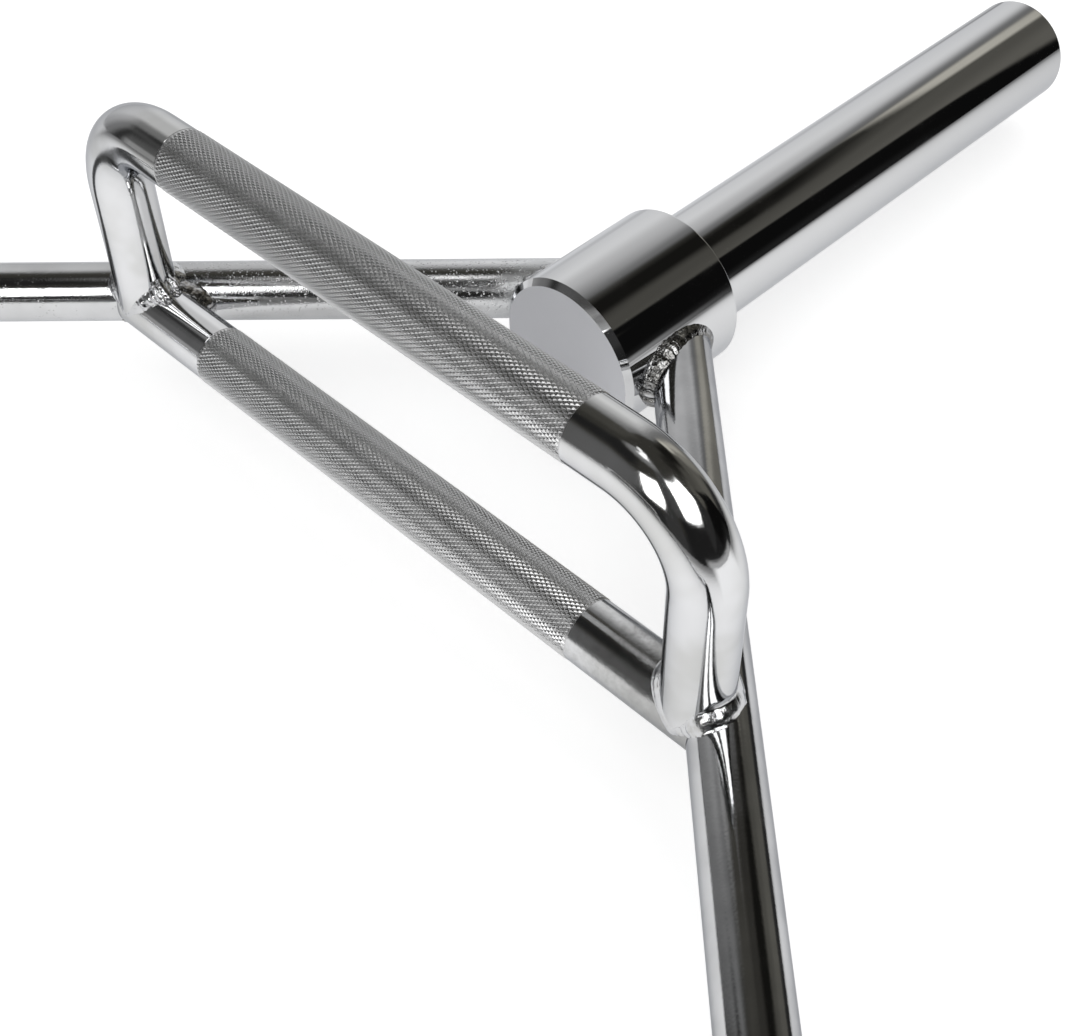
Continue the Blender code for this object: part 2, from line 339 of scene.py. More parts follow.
def turned_blank(name, back_x, face_x, radius):
    put_down_tools()
    bpy.ops.mesh.primitive_cylinder_add(vertices=TURNED_SIDES, radius=radius,
                                        depth=face_x - back_x,
                                        location=((back_x + face_x) / 2, 0, SLEEVE_AXIS),
                                        rotation=(0, math.pi / 2, 0))
    blank = named(name)
    bpy.ops.object.transform_apply(location=True, rotation=True, scale=True)
    edit(blank)
    return blank


def faces_along(direction_x):
    """Chooses flat end faces that look along +X or -X."""
    return lambda face: face.normal.x * direction_x > FACING_STRAIGHT


def rim(x, radius):
    """Chooses the edges of a circle at that place and radius on a turned piece."""
    def wanted(edge):
        for corner in edge.verts:
            from_axis = math.hypot(corner.co.y, corner.co.z - SLEEVE_AXIS)
            if abs(corner.co.x - x) > SAME_SPOT or abs(from_axis - radius) > SAME_SPOT:
                return False
        return True
    return wanted


def bevel_rim(piece, x, radius, size, segments):
    choose(piece, "EDGE", rim(x, radius))
    bpy.ops.mesh.bevel(offset=size, segments=segments, profile=0.5, affect="EDGES")


def hold_round_side(x):
    """A ring of edges close to a rounded rim, so that its shading stays off the long side."""
    bpy.ops.mesh.select_all(action="SELECT")
    bpy.ops.mesh.bisect(plane_co=(x, 0, 0), plane_no=(1, 0, 0))


def make_collar(name, *finishes):
    """Thick collar: flat chamfered inner face, shoulder for the plates, bore for the sleeve."""
    bore = SLEEVE_RADIUS + SLEEVE_CLEARANCE
    piece = turned_blank(name, COLLAR_FACE_X, SHOULDER_X, COLLAR_RADIUS)
    hold_round_side(SHOULDER_X - COLLAR_SHOULDER_ROUND - SUPPORT)
    bevel_rim(piece, COLLAR_FACE_X, COLLAR_RADIUS, COLLAR_FACE_CHAMFER, 1)
    bevel_rim(piece, SHOULDER_X, COLLAR_RADIUS, COLLAR_SHOULDER_ROUND, 5)
    choose(piece, "FACE", faces_along(1))
    bpy.ops.mesh.inset(thickness=SUPPORT)
    bpy.ops.mesh.inset(thickness=COLLAR_RADIUS - COLLAR_SHOULDER_ROUND - SUPPORT * 2 - bore)
    bpy.ops.mesh.inset(thickness=SUPPORT)
    depth = SHOULDER_X - SLEEVE_SEAT_X
    bpy.ops.mesh.extrude_region_move(TRANSFORM_OT_translate={"value": (-depth, 0, 0)})
    bevel_rim(piece, SHOULDER_X, bore, COLLAR_BORE_BREAK, 2)
    choose(piece, "FACE", faces_along(-1))
    finish_faces(piece, 1)
    dress(piece, *finishes)
    return settle(piece)


def make_sleeve(name, *finishes):
    """Steel tube that the plates slide on, with its outer rim rounded."""
    piece = turned_blank(name, SLEEVE_SEAT_X, SLEEVE_TIP_X, SLEEVE_RADIUS)
    hold_round_side(SLEEVE_TIP_X - SLEEVE_RIM_ROUND - SUPPORT)
    bevel_rim(piece, SLEEVE_TIP_X, SLEEVE_RADIUS, SLEEVE_RIM_ROUND, 6)
    inner = SLEEVE_RADIUS - SLEEVE_WALL
    choose(piece, "FACE", faces_along(1))
    bpy.ops.mesh.inset(thickness=SLEEVE_WALL - SLEEVE_RIM_ROUND)
    bpy.ops.mesh.delete(type="FACE")
    choose(piece, "FACE", faces_along(-1))
    bpy.ops.mesh.inset(thickness=SLEEVE_WALL)
    bpy.ops.mesh.delete(type="FACE")
    choose(piece, "EDGE", lambda edge: edge.is_boundary)
    bpy.ops.mesh.bridge_edge_loops()
    bevel_rim(piece, SLEEVE_TIP_X, inner, PLUG_CHAMFER, 3)
    dress(piece, *finishes)
    return settle(piece)


def make_plug(name, *finishes):
    """Round plug that closes the sleeve's tip, its face turned and its rim chamfered."""
    piece = turned_blank(name, PLUG_BACK_X, PLUG_FACE_X, PLUG_RADIUS)
    bevel_rim(piece, PLUG_FACE_X, PLUG_RADIUS, PLUG_CHAMFER, 1)
    dress(piece, *finishes)
    return settle(piece)


# Handles

def along_handle(edge):
    step = edge.verts[1].co - edge.verts[0].co
    return abs(step.y) > NEARLY_ALONG * step.length


def knurl(piece, level, length):
    """Roll a diamond knurl into the handle's middle run.

    The run's long faces are cut into rings, each rectangle is poked and its old sides are
    dissolved, which leaves a net of diamonds. Each diamond is then raised into a blunt point.
    """
    half = length / 2 - KNURL_RUNOUT
    rings = round(2 * half / DIAMOND_LENGTH)
    near_skin = BAR_RADIUS * 1.2

    def in_run(part):
        spot = middle(part)
        return abs(spot.y) < half and (spot - Vector((spot.x, spot.y, level))).length < near_skin

    edit(piece)
    choose(piece, "EDGE", lambda edge: in_run(edge) and along_handle(edge)
           and edge.calc_length() > half)
    bpy.ops.mesh.subdivide(number_cuts=rings - 1)
    choose(piece, "FACE", in_run)
    bulge = BAR_RADIUS * (1 - math.cos(math.pi / DIAMONDS_ROUND))
    bpy.ops.mesh.poke(offset=bulge, use_relative_offset=False, center_mode="MEDIAN")
    ring_step = 2 * half / rings

    def old_side(edge):
        if not in_run(edge) or edge.is_boundary:
            return False
        step = abs(edge.verts[1].co.y - edge.verts[0].co.y)
        lengthwise = step > NEARLY_ALONG * ring_step and along_handle(edge)
        crosswise = step < (1 - NEARLY_ALONG) * ring_step
        at_end = half - abs(middle(edge).y) < 0.1 * ring_step
        return (lengthwise or crosswise) and not at_end

    choose(piece, "EDGE", old_side)
    bpy.ops.mesh.dissolve_edges(use_verts=False)
    choose(piece, "FACE", lambda face: in_run(face) and len(face.verts) == 4)
    bpy.ops.mesh.inset(thickness=DIAMOND_SLOPE_WIDTH, depth=DIAMOND_HEIGHT, use_individual=True)
    choose(piece, "FACE", in_run)
    finish_faces(piece, 1)
    put_down_tools()


def knurled_run(bar, plain, length):
    """A straight run whose middle is a little thinner, ready for the knurl's raised diamonds."""
    root = (BAR_RADIUS - KNURL_ROOT_DEPTH) / BAR_RADIUS
    bar.run(plain)
    bar.run(KNURL_RUNOUT, root)
    bar.run(length - 2 * KNURL_RUNOUT)
    bar.run(KNURL_RUNOUT, 1 / root)
    bar.run(plain)


def fit_and_knurl(piece, level, length, finishes):
    """Cut a handle to fit the diagonals and knurl its middle run."""
    for end in ENDS.values():
        cut_away(piece, frame_tool(end))
    dress(piece, *finishes)
    knurl(piece, level, length)
    return settle(piece, HANDLE_SMOOTH_ANGLE)


def make_low_handle(name, *finishes):
    """Straight knurled handle across the right end, fitted between the two diagonals."""
    fitted = BAR_RADIUS * 2
    bar = RoundBar(name, (HANDLE_X, -HANDLE_END_Y, FRAME_LEVEL), (0, 1, 0), DIAMONDS_ROUND)
    bar.run(fitted)
    knurled_run(bar, HANDLE_END_Y - LOW_KNURL_LENGTH / 2 - fitted, LOW_KNURL_LENGTH)
    bar.run(fitted)
    return fit_and_knurl(bar.finish(), FRAME_LEVEL, LOW_KNURL_LENGTH, finishes)


def make_raised_handle(name, *finishes):
    """Knurled handle bent down at both ends into risers that stand on the low handle."""
    fitted = BAR_RADIUS * 1.6
    riser = RAISED_LEVEL - FRAME_LEVEL - RAISED_BEND_RADIUS
    plain = RISER_HALF_SPACING - RAISED_BEND_RADIUS - RAISED_KNURL_LENGTH / 2
    foot = (HANDLE_X, -RISER_HALF_SPACING, FRAME_LEVEL)
    bar = RoundBar(name, foot, (0, 0, 1), DIAMONDS_ROUND)
    bar.run(fitted)
    bar.run(riser - fitted)
    bar.bend(RAISED_BEND_RADIUS, math.pi / 2, (0, 1, 0), HANDLE_BEND_STEPS)
    knurled_run(bar, plain, RAISED_KNURL_LENGTH)
    bar.bend(RAISED_BEND_RADIUS, math.pi / 2, (0, 0, -1), HANDLE_BEND_STEPS)
    bar.run(riser - fitted)
    bar.run(fitted)
    piece = bar.finish()
    cut_away(piece, low_handle_tool())
    return fit_and_knurl(piece, RAISED_LEVEL, RAISED_KNURL_LENGTH, finishes)


# Welds

WELD_SEAM_STEPS = 96
WELD_SINK = 0.0001
WELD_FADE_ANGLE = math.radians(30)
THINNEST_SHARE = 0.30
SMALLEST_DROP = 0.15
FIRST_DROP_SHARE = 0.45
NEXT_DROP_GAIN = 0.2
DROP_OVERLAP = 0.0006
DROP_SLIP = 0.4
KEPT_LEGS = 2.2
BAR_STUB = 0.060
COLLAR_STUB = 0.061
COLLAR_STUB_SETBACK = 0.002
FOOT_STUB = 0.034
FOOT_STUB_SETBACK = 0.030
HANDLE_SEAM_TOP = math.radians(70)
HANDLE_SEAM_END = math.radians(-150)


@dataclass
class SeamPoint:
    """A point where two skins meet, with the outward direction of each skin there."""

    place: Vector
    off_branch: Vector
    off_main: Vector

    def toward(self, other, share):
        place = self.place.lerp(other.place, share)
        off_branch = self.off_branch.lerp(other.off_branch, share).normalized()
        off_main = self.off_main.lerp(other.off_main, share).normalized()
        return SeamPoint(place, off_branch, off_main)


def meeting(start, heading, angle_side, angle, mains):
    """Where a line along a bar's skin first meets one of the main bars.

    Each main is a point on its axis, its direction and its radius. The line lies at the given
    angle round the bar, counted from angle_side.
    """
    up = heading.cross(angle_side)
    off_branch = angle_side * math.cos(angle) + up * math.sin(angle)
    skin = start + off_branch * BAR_RADIUS
    nearest = None
    for point, direction, radius in mains:
        offset = square_part(skin - point, direction)
        rate = square_part(heading, direction)
        half_slope = offset.dot(rate) / rate.dot(rate)
        rest = (offset.dot(offset) - radius * radius) / rate.dot(rate)
        depth = half_slope * half_slope - rest
        if depth < -1e-9:
            continue
        distance = -half_slope - math.sqrt(max(depth, 0.0))
        if nearest is None or distance < nearest[0]:
            spot = skin + heading * distance
            nearest = (distance, spot, square_part(spot - point, direction).normalized())
    return SeamPoint(nearest[1], off_branch, nearest[2])


COLLAR_MAIN = (Vector((SHOULDER_X, 0.0, SLEEVE_AXIS)), Vector((1, 0, 0)), COLLAR_RADIUS)
HANDLE_MAIN = (Vector((HANDLE_X, 0.0, FRAME_LEVEL)), Vector((0, 1, 0)), BAR_RADIUS)


def frame_main(end):
    return CROSSING, diagonal(end), BAR_RADIUS


def round_turn():
    return [math.tau * step / WELD_SEAM_STEPS for step in range(WELD_SEAM_STEPS)]


def collar_seam(end):
    """Closed seam round a frame bar where it meets the right collar."""
    heading = -diagonal(end)
    start = CROSSING - heading * FRAME_HALF_WIDTH
    flat = heading.cross(Vector((0, 0, 1)))
    return [meeting(start, heading, flat, angle, [COLLAR_MAIN]) for angle in round_turn()]


def foot_seam(end):
    """Closed seam round a riser where it stands on the low handle and the frame bar."""
    start = Vector((HANDLE_X, end * RISER_HALF_SPACING, RAISED_LEVEL))
    mains = [HANDLE_MAIN, frame_main(end)]
    return [meeting(start, Vector((0, 0, -1)), Vector((1, 0, 0)), angle, mains)
            for angle in round_turn()]


def handle_seam(end):
    """Open seam at the low handle's end, from the crotch by the collar down to its inner side."""
    heading = Vector((0, end, 0))
    start = Vector((HANDLE_X, 0.0, FRAME_LEVEL))
    towards_collar = Vector((1, 0, 0))
    upward = heading.cross(towards_collar).z
    turn = (HANDLE_SEAM_END - HANDLE_SEAM_TOP) / WELD_SEAM_STEPS
    return [meeting(start, heading, towards_collar, (HANDLE_SEAM_TOP + turn * step) * upward,
                    [frame_main(end)]) for step in range(WELD_SEAM_STEPS + 1)]


def eased(seam, closed, rounds=6):
    """The same seam with its kinks rounded, as a welder's hand rounds them."""
    for _ in range(rounds):
        last = len(seam) - 1
        softer = []
        for index, spot in enumerate(seam):
            if not closed and index in (0, last):
                softer.append(spot)
                continue
            between = seam[index - 1].toward(seam[(index + 1) % len(seam)], 0.5)
            softer.append(spot.toward(between, 0.5))
        seam = softer
    return seam


def paced(seam, closed, pace):
    """Points along the seam about one pace apart."""
    loop = seam + [seam[0]] if closed else seam
    lengths = [0.0]
    for before, after in zip(loop, loop[1:]):
        lengths.append(lengths[-1] + (after.place - before.place).length)
    count = max(2, round(lengths[-1] / pace))
    stops = count if closed else count + 1
    spots = []
    index = 0
    for stop in range(stops):
        want = lengths[-1] * stop / count
        while index < len(loop) - 2 and lengths[index + 1] < want:
            index += 1
        share = (want - lengths[index]) / (lengths[index + 1] - lengths[index])
        spots.append(loop[index].toward(loop[index + 1], share))
    return spots


@dataclass
class Pass:
    """One run of the welding torch along a seam.

    Where the branch's skin faces away from facing by more than spread degrees, the run thins
    to the share least.
    """

    leg: float  # reach of the weld onto each skin
    pace: float  # step from drop to drop
    thickness: float  # half a drop's height
    proud: float  # how far the face stands out
    tilt: float  # how far a drop leans on the one before, in radians
    unevenness: float  # the welder's irregularity, as a share
    melt: int  # smoothing passes
    voxel: float = 0.00050
    facing: tuple = None
    spread: float = 0.0
    least: float = 1.0
    roundness: float = 0.0  # least length of a drop for its width

    def share_at(self, spot, opening):
        """Share of the full leg: whole in a tight crotch, less where skins run together."""
        share = max(THINNEST_SHARE, min(1.0, 1.15 * math.cos(opening) - 0.05))
        if self.facing is None:
            return share
        off = spot.off_branch.angle(Vector(self.facing)) - math.radians(self.spread)
        off /= WELD_FADE_ANGLE
        off = min(1.0, max(0.0, off))
        return share * (1.0 + (self.least - 1.0) * off * off * (3.0 - 2.0 * off))


def lay_drops(seam, closed, run, hand):
    """Flat overlapping drops of metal along the seam, as one object."""
    put_down_tools()
    drops = None
    spots = paced(seam, closed, run.pace)
    last = len(spots) - 1
    for index, spot in enumerate(spots):
        before = spots[index - 1] if closed or index > 0 else spot
        after = spots[(index + 1) % len(spots)] if closed or index < last else spot
        along = (after.place - before.place).normalized()
        face = (spot.off_branch + spot.off_main).normalized()
        across = face.cross(along).normalized()
        face = along.cross(across)
        opening = (math.pi - spot.off_branch.angle(spot.off_main)) / 2
        fade = 1.0
        if not closed:
            fade = min(1.0, FIRST_DROP_SHARE + NEXT_DROP_GAIN * min(index, last - index))
        fade *= run.share_at(spot, opening)
        reach = run.leg * fade * (1 + run.unevenness * hand.uniform(-1, 1))
        proud = run.proud * (1 + run.unevenness * hand.uniform(-1, 1))
        slip = run.unevenness * run.pace * DROP_SLIP
        rise = reach * math.cos(opening) + proud - run.thickness
        centre = (spot.place + face * rise + along * hand.uniform(-1, 1) * slip
                  + across * hand.uniform(-1, 1) * slip)
        basis = Matrix((along, across, face)).transposed()
        lean = Matrix.Rotation(-run.tilt * hand.uniform(0.6, 1.4), 3, across)
        turn = (lean @ basis).to_euler()
        width = reach * math.sin(opening) + DROP_OVERLAP
        length = max(run.pace * hand.uniform(1.1, 1.4), width * run.roundness)
        size = (length, width, run.thickness)
        if fade < SMALLEST_DROP:
            continue
        bpy.ops.mesh.primitive_ico_sphere_add(subdivisions=3, radius=1.0, location=centre,
                                              rotation=turn, scale=size)
        drops = drops or start_joined_mesh()
    put_down_tools()
    return drops


def start_joined_mesh():
    """Take the new primitive into edit mode, so that the next ones join its mesh."""
    piece = bpy.context.object
    bpy.ops.object.transform_apply(location=True, rotation=True, scale=True)
    edit(piece)
    return piece


def join(piece, other):
    take_up(piece)
    other.select_set(True)
    bpy.ops.object.join()


def melt_together(piece, voxel, passes):
    """Melt everything in the mesh into one closed skin and let it flow."""
    melted = piece.modifiers.new("melt", "REMESH")
    melted.mode = "VOXEL"
    melted.voxel_size = voxel
    apply(piece, melted)
    flow = piece.modifiers.new("flow", "SMOOTH")
    flow.factor = 0.5
    flow.iterations = passes
    apply(piece, flow)


def weld(name, seam, closed, rods, root, cap, seed):
    """A fillet weld that flows into the bars at both edges.

    Short stubs of the bars are melted together with a smooth root pass, the rippled cap pass is
    laid on top, and the stubs are cut away again. rods holds each stub's start, heading, length
    and radius.
    """
    hand = random.Random(seed)
    seam = eased(seam, closed)
    put_down_tools()
    piece = None
    for start, heading, length, radius in rods:
        add_rod(start, heading, length, radius - WELD_SINK * 2)
        piece = piece or start_joined_mesh()
    named(name)
    for run in (root, cap):
        join(piece, lay_drops(seam, closed, run, hand))
        melt_together(piece, run.voxel, run.melt)
    settle(piece, math.pi)
    cut_off_stubs(piece, seam, rods, cap.leg * KEPT_LEGS)
    return piece


def cut_off_stubs(piece, seam, rods, reach):
    """Take away what lies inside the bars or far from the seam, where it can't be seen."""
    axes = [(Vector(start), Vector(heading).normalized(), radius - WELD_SINK)
            for start, heading, length, radius in rods]
    near = [spot.place for spot in seam[::4]]

    def hidden(corner):
        for start, heading, radius in axes:
            if square_part(corner.co - start, heading).length_squared < radius * radius:
                return True
        return min((corner.co - place).length_squared for place in near) > reach * reach

    edit(piece)
    choose(piece, "VERT", hidden)
    bpy.ops.mesh.delete(type="VERT")
    put_down_tools()


def collar_weld_rods(end):
    outward = diagonal(end)
    bar = (CROSSING + outward * COLLAR_RADIUS * 0.5, outward, BAR_STUB, BAR_RADIUS)
    face = (COLLAR_FACE_X + COLLAR_STUB_SETBACK, 0, SLEEVE_AXIS)
    return [bar, (face, (1, 0, 0), COLLAR_STUB, COLLAR_RADIUS)]


def foot_rods(end):
    foot = Vector((HANDLE_X, end * RISER_HALF_SPACING, FRAME_LEVEL))
    riser = (foot, (0, 0, 1), FOOT_STUB, BAR_RADIUS)
    inner = foot - Vector((0, end * FOOT_STUB_SETBACK, 0))
    handle = (inner, (0, end, 0), FOOT_STUB, BAR_RADIUS)
    handle_end = Vector((HANDLE_X, end * HANDLE_END_Y, FRAME_LEVEL))
    outward = diagonal(end)
    bar = (handle_end - outward * FOOT_STUB, outward, FOOT_STUB * 2, BAR_RADIUS)
    return [riser, handle, bar]


# Finishes: wiring of nodes, shared effects and the chromes made with them

class Wiring:
    """Helper for wiring the nodes of one material or group."""

    def __init__(self, tree):
        self.nodes = tree.nodes
        self.links = tree.links

    def add(self, kind, values=(), **settings):
        """Add a node with its settings, its inputs fed in turn or by name."""
        node = self.nodes.new(kind)
        for name, value in settings.items():
            setattr(node, name, value)
        pairs = values.items() if isinstance(values, dict) else enumerate(values)
        for socket, value in pairs:
            self.feed(node.inputs[socket], value)
        return node

    def feed(self, socket, value):
        """Link an output to the socket, or set the socket to a plain value."""
        if isinstance(value, bpy.types.NodeSocket):
            self.links.new(value, socket)
        elif isinstance(value, tuple) and len(value) == 3 and socket.type == "RGBA":
            socket.default_value = (*value, 1.0)
        else:
            socket.default_value = value

    def math(self, operation, *values):
        return self.add("ShaderNodeMath", values, operation=operation).outputs[0]

    def plus(self, first, second):
        return self.math("ADD", first, second)

    def minus(self, first, second):
        return self.math("SUBTRACT", first, second)

    def times(self, first, second):
        return self.math("MULTIPLY", first, second)

    def vector(self, operation, *values):
        result = "Value" if operation in ("LENGTH", "DISTANCE") else "Vector"
        return self.add("ShaderNodeVectorMath", values, operation=operation).outputs[result]

    def split(self, place):
        """The X, Y and Z of a place."""
        return self.add("ShaderNodeSeparateXYZ", [place]).outputs

    def noise(self, place, scale, detail, roughness):
        values = {"Vector": place, "Scale": scale, "Detail": detail, "Roughness": roughness}
        return self.add("ShaderNodeTexNoise", values).outputs["Fac"]

    def step(self, value, start, end, before=0.0, after=1.0):
        """before up to start and after from end on, with a smooth step between."""
        return self.add("ShaderNodeMapRange", (value, start, end, before, after),
                        interpolation_type="SMOOTHSTEP").outputs["Result"]

    def fall(self, value, edge, softness, low=0.0, high=1.0):
        """high below the edge and low above it, with a smooth step between."""
        return self.step(value, edge - softness, edge + softness, high, low)

    def glow(self, colour, strength):
        return self.add("ShaderNodeEmission", (colour, strength)).outputs[0]

    def mix(self, share, first, second):
        values = {"Factor": share, "A": first, "B": second}
        return self.add("ShaderNodeMix", values, data_type="RGBA").outputs["Result"]

    def compass(self, place):
        """Bearing from +Y towards +X and rise above the horizon of a place, in degrees."""
        unit = self.split(self.vector("NORMALIZE", place))
        bearing = self.math("ARCTAN2", unit["X"], unit["Y"])
        rise = self.math("ARCSINE", unit["Z"])
        to_degrees = math.degrees(1)
        return self.times(bearing, to_degrees), self.times(rise, to_degrees)

    def off_bearing(self, bearing, middle_bearing):
        """Signed difference of two bearings, in degrees."""
        off = self.minus(bearing, middle_bearing)
        return self.math("WRAP", off, 180.0, -180.0)


class Finish(Wiring):
    """A material, wired from nothing, with the place on the piece that it reads."""

    def __init__(self, name):
        self.material = bpy.data.materials.new(name)
        self.material.use_nodes = True
        super().__init__(self.material.node_tree)
        self.nodes.clear()
        self.place = self.add("ShaderNodeTexCoord").outputs["Object"]

    def show(self, shader):
        """Make the shader the material's surface."""
        self.add("ShaderNodeOutputMaterial", {"Surface": shader})
        return self.material


def label(name):
    """A socket's label from its name in the script."""
    return name.replace("_", " ").title()


class Effect(Wiring):
    """A shared effect: a group that takes Place and the named values, and gives one value."""

    def __init__(self, name, output, **usual):
        self.group = bpy.data.node_groups.new(name, "ShaderNodeTree")
        super().__init__(self.group)
        self.socket("Place", "INPUT", "Vector")
        for value_name, value in usual.items():
            coloured = isinstance(value, tuple)
            socket = self.socket(label(value_name), "INPUT", "Color" if coloured else "Float")
            socket.default_value = (*value, 1.0) if coloured else value
        self.socket(output, "OUTPUT", "Color" if output == "Color" else "Float")
        self.given = self.add("NodeGroupInput").outputs
        self.result = self.add("NodeGroupOutput").inputs[output]

    def socket(self, name, way, kind):
        kind = "NodeSocket" + kind
        return self.group.interface.new_socket(name, in_out=way, socket_type=kind)

    def clouds(self, scale, detail, roughness):
        """Noise at the metal's place, at one of the scales that it gives."""
        return self.noise(self.given["Place"], self.given[scale], detail, roughness)

    def give(self, value):
        self.feed(self.result, value)
        return self.group


def make_cloudy_polish():
    """Roughness that drifts between two values, as buffing leaves it."""
    effect = Effect("cloudy_polish", "Roughness", cloud_scale=40.0, least_roughness=0.04,
                    most_roughness=0.12)
    cloud = effect.clouds("Cloud Scale", 4.0, 0.6)
    least, most = effect.given["Least Roughness"], effect.given["Most Roughness"]
    return effect.give(effect.step(cloud, 0.38, 0.72, least, most))


def make_orange_peel():
    """Height of the faint waves and grain that plating leaves on drawn bar."""
    effect = Effect("orange_peel", "Height", wave_scale=60.0, wave_height=0.00001,
                    grain_scale=900.0, grain_height=0.000002)
    wave = effect.clouds("Wave Scale", 1.0, 0.5)
    grain = effect.clouds("Grain Scale", 2.0, 0.6)
    wave = effect.times(wave, effect.given["Wave Height"])
    grain = effect.times(grain, effect.given["Grain Height"])
    return effect.give(effect.plus(wave, grain))


def make_pin_pits():
    """Height of scattered pin pits in the plating."""
    effect = Effect("pin_pits", "Height", pit_scale=500.0, pit_share=0.3, pit_depth=0.00003)
    given = effect.given
    values = {"Vector": given["Place"], "Scale": given["Pit Scale"]}
    cells = effect.add("ShaderNodeTexVoronoi", values).outputs
    hole = effect.fall(cells["Distance"], 0.24, 0.16)
    pick = effect.add("ShaderNodeSeparateColor", [cells["Color"]]).outputs[0]
    chosen = effect.math("LESS_THAN", pick, given["Pit Share"])
    depth = effect.times(effect.times(hole, chosen), given["Pit Depth"])
    return effect.give(effect.times(depth, -1.0))


def make_plating_haze():
    """Colour of chrome under a thin haze that comes and goes in clouds."""
    effect = Effect("plating_haze", "Color", cloud_scale=30.0, chrome=(0.66, 0.66, 0.67),
                    haze=(0.60, 0.60, 0.58))
    share = effect.step(effect.clouds("Cloud Scale", 3.0, 0.55), 0.36, 0.66)
    return effect.give(effect.mix(share, effect.given["Chrome"], effect.given["Haze"]))


TINT_SOFTNESS = 0.14
SMOKE_EDGE = 1.45
SMOKE_RAGGEDNESS = 1.6


def make_heat_tint():
    """Colour that wanders between bright chrome and the bronze of heated metal."""
    effect = Effect("heat_tint", "Color", patch_scale=150.0, tint_share=0.5,
                    chrome=(0.66, 0.66, 0.67), bronze=(0.30, 0.24, 0.18))
    edge = effect.minus(1.0, effect.given["Tint Share"])
    start = effect.minus(edge, TINT_SOFTNESS)
    end = effect.plus(edge, TINT_SOFTNESS)
    share = effect.step(effect.clouds("Patch Scale", 4.0, 0.65), start, end)
    return effect.give(effect.mix(share, effect.given["Chrome"], effect.given["Bronze"]))


def make_weld_smoke():
    """Share of the smoke and spatter that welding at Foot leaves along a bar, up to Reach away."""
    effect = Effect("weld_smoke", "Share", foot=-0.15, reach=0.05, patch_scale=160.0,
                    softness=0.75)
    given = effect.given
    away = effect.minus(effect.split(given["Place"])["Y"], given["Foot"])
    away = effect.math("DIVIDE", away, given["Reach"])
    patches = effect.clouds("Patch Scale", 5.0, 0.7)
    ragged = effect.plus(away, effect.times(patches, SMOKE_RAGGEDNESS))
    start = effect.minus(SMOKE_EDGE, given["Softness"])
    end = effect.plus(SMOKE_EDGE, given["Softness"])
    return effect.give(effect.step(ragged, start, end, 1.0, 0.0))


CLOUDY_POLISH = make_cloudy_polish()
ORANGE_PEEL = make_orange_peel()
PIN_PITS = make_pin_pits()
HEAT_TINT = make_heat_tint()
PLATING_HAZE = make_plating_haze()
WELD_SMOKE = make_weld_smoke()

CHROME = (0.660, 0.664, 0.672)
CHROME_EDGE = (0.72, 0.73, 0.75)


class Metal(Finish):
    """A chrome, with effects from the shared groups."""

    def __init__(self, name, colour=CHROME):
        super().__init__(name)
        values = {"Base Color": colour, "Metallic": 1.0, "Roughness": 0.05,
                  "Specular Tint": CHROME_EDGE}
        self.shader = self.add("ShaderNodeBsdfPrincipled", values)
        self.heights = []

    def set(self, socket, value):
        self.feed(self.shader.inputs[socket], value)

    def effect(self, group, **values):
        """Use a shared effect with this metal's own values."""
        values = {label(name): value for name, value in values.items()}
        values["Place"] = self.place
        return self.add("ShaderNodeGroup", values, node_tree=group).outputs[0]

    def polish(self, scale, least, most):
        self.set("Roughness", self.effect(CLOUDY_POLISH, cloud_scale=scale,
                                          least_roughness=least, most_roughness=most))

    def haze(self, scale, clear, dull):
        self.set("Base Color", self.effect(PLATING_HAZE, cloud_scale=scale, chrome=clear,
                                           haze=dull))

    def smoke(self, share, stain, dulling):
        """Stain the hazy colour and dull the polish where the welding smoke lies."""
        colour, roughness = [self.shader.inputs[socket].links[0].from_socket
                             for socket in ("Base Color", "Roughness")]
        self.set("Base Color", self.mix(share, colour, stain))
        self.set("Roughness", self.plus(roughness, self.times(share, dulling)))

    def peel(self, wave, grain):
        """Orange peel. The wave and the grain are each a scale and a height in metres."""
        return self.effect(ORANGE_PEEL, wave_scale=wave[0], wave_height=wave[1],
                           grain_scale=grain[0], grain_height=grain[1])

    def relief(self, height, share=1.0):
        """Add a height to the bump, whole or by a share that changes over the surface."""
        self.heights.append(height if share == 1.0 else self.times(height, share))

    def finish(self):
        """Join the reliefs into one bump."""
        if self.heights:
            height = self.heights[0]
            for extra in self.heights[1:]:
                height = self.plus(height, extra)
            values = {"Strength": 1.0, "Distance": 1.0, "Height": height}
            self.set("Normal", self.add("ShaderNodeBump", values).outputs["Normal"])
        return self.show(self.shader.outputs[0])


def polished_chrome():
    """Ground and buffed chrome of the sleeves and the collars' round sides."""
    metal = Metal("polished_chrome_finish")
    metal.polish(55.0, 0.035, 0.10)
    metal.relief(metal.peel((45.0, 0.000012), (1500.0, 0.0000002)))
    return metal.finish()


def satin_chrome():
    """Flat turned face of the collar, plated over a fine satin finish."""
    metal = Metal("satin_chrome_finish", (0.60, 0.605, 0.63))
    metal.polish(45.0, 0.30, 0.38)
    return metal.finish()


def plated_bar(name, polish, haze, edge_tint, wave, grain):
    """Drawn bar under chrome, with its polish, its haze, its waves and its grain."""
    metal = Metal(name)
    metal.polish(*polish)
    metal.haze(*haze)
    metal.set("Specular Tint", edge_tint)
    metal.relief(metal.peel(wave, grain))
    return metal


